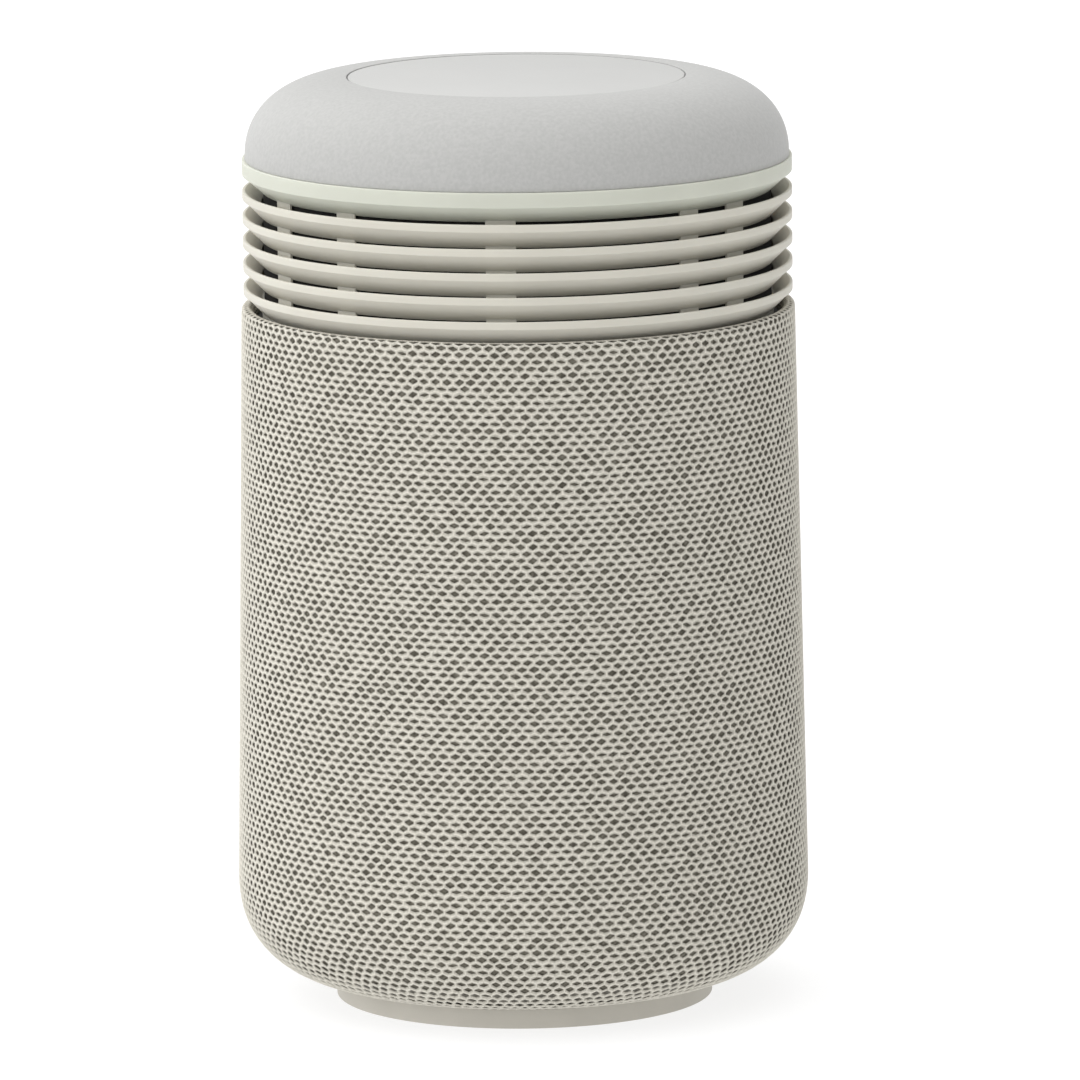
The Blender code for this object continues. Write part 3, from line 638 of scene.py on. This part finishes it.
def liner_tube():
    """Thin tube of cloth round the core, in short steps up its height."""
    shape = bmesh.new()
    heights = np.linspace(core_low.z + LINER_MARGIN * MM, core_high.z - LINER_MARGIN * MM, 24)
    rings = [[shape.verts.new((LINER_R * MM * cos(a), LINER_R * MM * sin(a), z))
              for a in np.linspace(0, 2 * pi, LINER_STEPS, endpoint=False)] for z in heights]
    for low, high in zip(rings, rings[1:]):
        for i in range(LINER_STEPS):
            shape.faces.new((low[i - 1], low[i], high[i], high[i - 1]))
    return piece_from("core_liner", shape)


dress(black_plastic, "louvre_core")
liner = fit(liner_tube(), black_cloth(), "cloth", BODY)

# ---------------------------------------------------------------- louvre rings
# Five moulded rings, each a narrow upright rim that runs inward and down as a thin dish. Small
# lugs on a ring's upper side carry the one above, and the stack is clamped between core and cap.
rim_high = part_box("cap_ring")[1]
RIM_R = rim_high.x / MM
BAND_LOW = 182.5                        # lower edge of the band on the top ring
BAND_HIGH = rim_high.z / MM
RIM_H = 1.6
PITCH = 5.24
LOUVRES = 5
DISH_IN_R = 55.85
DISH_DROP = 3.95
CAP_DISH_DROP = 3.56
SKIRT_LOW = 150.7
RIM_SOFT = 0.18
LUG_GAP = 0.06                          # between a lug and the ring that rests on it
LUG_SINK = 0.3                          # how far a lug goes into the ring that carries it
LIP = 0.6                               # flat top of a rim
SLOPE = 0.61                            # fall of a dish's upper side, per mm inward
LUG_NEAR_R, LUG_FAR_R = 56.4, 55.9
LUG_WIDE, LUG_NARROW = 6.6, 5.2         # in degrees
LUG_STEPS = 6
LOUVRE_CREAM = (203, 200, 189)


def bent(start, through, end, steps=10):
    """Curve that starts, passes through a middle point, and ends, without its first and last points."""
    handle = [2 * m - 0.5 * (a + b) for a, m, b in zip(start, through, end)]
    points = []
    for i in range(1, steps):
        t = i / steps
        points.append(tuple((1 - t) ** 2 * a + 2 * t * (1 - t) * h + t * t * b
                            for a, h, b in zip(start, handle, end)))
    return points


def dish_under(low, drop):
    """Underside of a dish, from the rim's lower edge in and down."""
    start, end = (RIM_R - 0.25, low), (DISH_IN_R, low - drop)
    return [start] + bent(start, (RIM_R - 2.2, low - 0.5 * drop), end) + [end]


def dish_upper(low):
    """Upper side of a dish, from inside the rim in and down."""
    return [(RIM_R - LIP, low + RIM_H), (DISH_IN_R, low + RIM_H - SLOPE * (RIM_R - DISH_IN_R))]


def height_on(line, radius):
    """Height of a line that runs inward, at one radius."""
    return float(np.interp(radius, [p[0] for p in line[::-1]], [p[1] for p in line[::-1]]))


def add_lug(shape, line_below, line_above, width, turn):
    """Lug between two rings: its profile swept through a few degrees, closed at both ends."""
    profile = [(LUG_NEAR_R, height_on(line_below, LUG_NEAR_R) - LUG_SINK),
               (LUG_NEAR_R, height_on(line_above, LUG_NEAR_R) - LUG_GAP),
               (LUG_FAR_R, height_on(line_above, LUG_FAR_R) - LUG_GAP),
               (LUG_FAR_R, height_on(line_below, LUG_FAR_R) - LUG_SINK)]
    slices = []
    for step in range(LUG_STEPS + 1):
        a = radians(turn + width * (step / LUG_STEPS - 0.5))
        slices.append([shape.verts.new((r * MM * cos(a), r * MM * sin(a), z * MM)) for r, z in profile])
    for first, second in zip(slices, slices[1:]):
        for i in range(4):
            shape.faces.new((first[i - 1], first[i], second[i], second[i - 1]))
    shape.faces.new(slices[0])
    shape.faces.new(slices[-1][::-1])


def let_light_in(finish, share, reach):
    """Lets light a little way into a thin pale moulding; reach is in millimetres."""
    shader = finish.node_tree.nodes["Principled BSDF"]
    shader.inputs["Subsurface Weight"].default_value = share
    shader.inputs["Subsurface Radius"].default_value = (1.0, 0.94, 0.86)
    shader.inputs["Subsurface Scale"].default_value = reach * MM
    return finish


def ring_plastic(name, colour):
    """Pale moulded plastic with a satin face and a very fine spark-eroded grain."""
    finish = surface(name, colour, 0.55, drift=0.022, cloud=14, grain=0.22, depth=0.008)
    return let_light_in(finish, 0.35, 2.0)


lug_turns = [(60 * i - 93.7, LUG_WIDE) for i in range(6)]
lug_turns += [(side * a - 90, LUG_NARROW) for a in (40.8, 139.2) for side in (-1, 1)]
cream = ring_plastic("louvre_plastic", LOUVRE_CREAM)
line_above = dish_under(BAND_LOW, CAP_DISH_DROP)
for i in range(LOUVRES):
    low = BAND_LOW - PITCH * (i + 1)
    under, upper = dish_under(low, DISH_DROP), dish_upper(low)
    inner = [(DISH_IN_R - 0.4, SKIRT_LOW), (DISH_IN_R - 0.4, upper[-1][1])] if i == LOUVRES - 1 else []
    skirt = [(DISH_IN_R, SKIRT_LOW)] if i == LOUVRES - 1 else []
    rim = [(RIM_R - LIP, low + RIM_H), (RIM_R, low + RIM_H, RIM_SOFT), (RIM_R, low, RIM_SOFT)]
    shape = turned_shape(rim + under[1:] + skirt + inner + upper[:0:-1])
    for turn, width in lug_turns:
        add_lug(shape, upper, line_above, width, turn)
    fit(piece_from("louvre_" + str(i + 1), shape), cream, "louvre", BODY, "louvre_ring_" + str(i + 1))
    line_above = under

# ---------------------------------------------------------------- top ring with the taller band
# The ring that the soft cap sits on. It is moulded like the louvres, in a slightly greener shade,
# with a band twice as tall and a flat seat inside.
BAND_GREEN = (199, 201, 189)
SEAT_Z = 183.8
SEAT_IN_R = 50.2
band_plastic = ring_plastic("band_plastic", BAND_GREEN)
band = [(RIM_R, BAND_HIGH, RIM_SOFT), (RIM_R, BAND_LOW, RIM_SOFT)] + dish_under(BAND_LOW, CAP_DISH_DROP)[1:]
band += [(DISH_IN_R, 180.0), (57.2, 182.0), (57.2, SEAT_Z), (SEAT_IN_R, SEAT_Z), (SEAT_IN_R, BAND_HIGH)]
fit(turned("cap_band", band), band_plastic, "band", BODY, "cap_ring")

# ---------------------------------------------------------------- soft cap
# A moulded shell with a rounded shoulder and a soft-touch coat, finely mottled like suede. It is
# clipped over the cap frame and leaves a hairline gap round the disc.
shell_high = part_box("cap_shell")[1]
CAP_R = shell_high.x / MM
CAP_LOW = BAND_HIGH + 0.03              # the cap sits on the band with a bare line between them
CAP_TOP = shell_high.z / MM
CAP_FLAT_R = 37.7
CAP_OPEN_R = 36.98
CAP_POWER = 2.26
CAP_WALL = 2.2
CAP_GREY = (176, 176, 174)


def shoulder(wide, top):
    """Rounded shoulder from the side up and in to the flat top."""
    points = []
    for a in np.linspace(0, pi / 2, 49):
        points.append((CAP_FLAT_R + (wide - CAP_FLAT_R) * abs(cos(a)) ** (2 / CAP_POWER),
                       CAP_LOW + (top - CAP_LOW) * sin(a) ** (2 / CAP_POWER)))
    return points


def soft_coat():
    """Soft-touch coat: dull, with a fine cloudy mottle and a little sheen at its edges."""
    finish = surface("soft_coat", CAP_GREY, 0.85, drift=0.03, cloud=5, grain=0.3, depth=0.02, sheen=0.2)
    links = finish.node_tree.links
    base = pigment(*CAP_GREY)
    speck = spread(finish, noise_in(finish, 0.8, 6.0), 0, 1, 0.35, 0.65)
    tone = blended(finish, speck, shaded(base, 0.95), shaded(base, 1.05))
    links.new(tone, finish.node_tree.nodes["Principled BSDF"].inputs["Base Color"])
    return finish


outside = shoulder(CAP_R, CAP_TOP)
inside = shoulder(CAP_R - CAP_WALL, CAP_TOP - CAP_WALL)
shell = [(CAP_R, CAP_LOW, 0.12)] + outside[3:]
shell += [(CAP_OPEN_R, CAP_TOP, 0.12), (CAP_OPEN_R, CAP_TOP - CAP_WALL)]
fit(turned("soft_cap", shell + inside[::-1]), soft_coat(), "soft_cap", BODY, "cap_shell")

# ---------------------------------------------------------------- top disc and the parts under it
# A flush round disc that is pressed to work the speaker. It rests on a silicone ring, and a milky
# ring under the hairline gap spreads the light of the lamps.
disc_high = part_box("press_disc")[1]
DISC_R = disc_high.x / MM
DISC_TOP = disc_high.z / MM
DISC_LOW = 201.0
disc_satin = surface("disc_satin", (193, 193, 191), 0.42, drift=0.012, cloud=20, grain=0.18, depth=0.004)
disc = [(0, DISC_TOP), (0, 196.7), (3.0, 196.7), (3.0, DISC_LOW), (33.0, DISC_LOW), (33.0, 198.8),
        (34.4, 198.8), (34.4, DISC_LOW), (DISC_R, DISC_LOW), (DISC_R, DISC_TOP, 0.15)]
fit(turned("top_disc", disc), disc_satin, "disc", "press_disc", "press_disc")


def milky():
    """Milky diffuser plastic, which lets light into itself."""
    finish = surface("milky_diffuser", (226, 226, 222), 0.4, drift=0.02, grain=0.3, depth=0.005)
    return let_light_in(finish, 0.3, 2.0)


dress(milky(), "light_guide")

ring_low, ring_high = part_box("return_ring")
RING_R, RING_WALL, RING_WAIST = ring_high.x / MM, 3.0, 0.8
RING_LOW, RING_TOP = ring_low.z / MM, ring_high.z / MM
middle = (RING_LOW + RING_TOP) / 2
return_outline = [(RING_R - RING_WALL, RING_LOW, 0.3), (RING_R, RING_LOW, 0.3),
                  (RING_R - RING_WAIST, middle, 2.0), (RING_R, RING_TOP, 0.3),
                  (RING_R - RING_WALL, RING_TOP, 0.3), (RING_R - RING_WALL - RING_WAIST, middle, 2.0)]
return_ring = fit(turned("disc_return_ring", return_outline, 96), silicone, "silicone", BODY, "return_ring")
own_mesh(return_ring)

# ---------------------------------------------------------------- floor, light and camera
# A plain pale floor that is lit from inside like a light table, in a white room that is brightest
# at its upper left.
FLOOR_GLOW = 0.78


def pale_floor():
    """Even pale floor, lit from inside, with the faintest cloudiness."""
    finish = surface("pale_floor", (137, 137, 137), 0.9, drift=0.004, cloud=400, grain=5, depth=0.01)
    shader = finish.node_tree.nodes["Principled BSDF"]
    shader.inputs["Emission Color"].default_value = (1, 1, 1, 1)
    shader.inputs["Emission Strength"].default_value = FLOOR_GLOW
    return finish


shape = bmesh.new()
bmesh.ops.create_grid(shape, x_segments=4, y_segments=4, size=8)
floor = piece_from("floor", shape)
floor.location.z = cad_low.z - 0.05 * MM
floor.data.materials.append(pale_floor())

SKY_DIM, SKY_BRIGHT = 0.5, 2.1
KEY_TURN = 85                           # how far round to the left the bright side of the room is
KEY_RISE = 60


def soft_room():
    """White room that is brightest at its upper left, like a wall of soft boxes, and seen as plain white."""
    world = bpy.data.worlds.new("soft_room")
    world.use_nodes = True
    nodes, links = world.node_tree.nodes, world.node_tree.links
    room = nodes["Background"]
    place = nodes.new("ShaderNodeTexCoord")
    toward = nodes.new("ShaderNodeVectorMath")
    toward.operation = "DOT_PRODUCT"
    turn, rise = radians(KEY_TURN), radians(KEY_RISE)
    toward.inputs[1].default_value = (-sin(turn) * cos(rise), -cos(turn) * cos(rise), sin(rise))
    level = nodes.new("ShaderNodeMapRange")
    level.interpolation_type = "SMOOTHSTEP"
    level.inputs["From Min"].default_value = 0.2
    level.inputs["From Max"].default_value = 1.0
    level.inputs["To Min"].default_value = SKY_DIM
    level.inputs["To Max"].default_value = SKY_BRIGHT
    links.new(place.outputs["Generated"], toward.inputs[0])
    links.new(toward.outputs["Value"], level.inputs["Value"])
    links.new(level.outputs["Result"], room.inputs["Strength"])
    seen = nodes.new("ShaderNodeBackground")
    pick = nodes.new("ShaderNodeMixShader")
    path = nodes.new("ShaderNodeLightPath")
    links.new(path.outputs["Is Camera Ray"], pick.inputs["Fac"])
    links.new(room.outputs["Background"], pick.inputs[1])
    links.new(seen.outputs["Background"], pick.inputs[2])
    links.new(pick.outputs["Shader"], nodes["World Output"].inputs["Surface"])
    seen.inputs["Color"].default_value = (1, 1, 1, 1)
    room.inputs["Color"].default_value = (1, 1, 1, 1)
    return world


bpy.context.scene.world = soft_room()

EYE = (0, -2.358, 0.5052)
LOOK_RIGHT, LOOK_DOWN, TILT = 0.104, 9.737, -0.531
lens = bpy.data.cameras.new("camera")
lens.sensor_width = 36
lens.lens = 363.5
lens.clip_start, lens.clip_end = 0.1, 50
camera = bpy.data.objects.new("camera", lens)
aim = Matrix.Rotation(radians(-LOOK_RIGHT), 4, "Z") @ Matrix.Rotation(radians(90 - LOOK_DOWN), 4, "X")
camera.matrix_world = Matrix.Translation(EYE) @ aim @ Matrix.Rotation(radians(TILT), 4, "Z")
bpy.context.scene.collection.objects.link(camera)
bpy.context.scene.camera = camera
bpy.context.scene.view_settings.view_transform = "Standard"
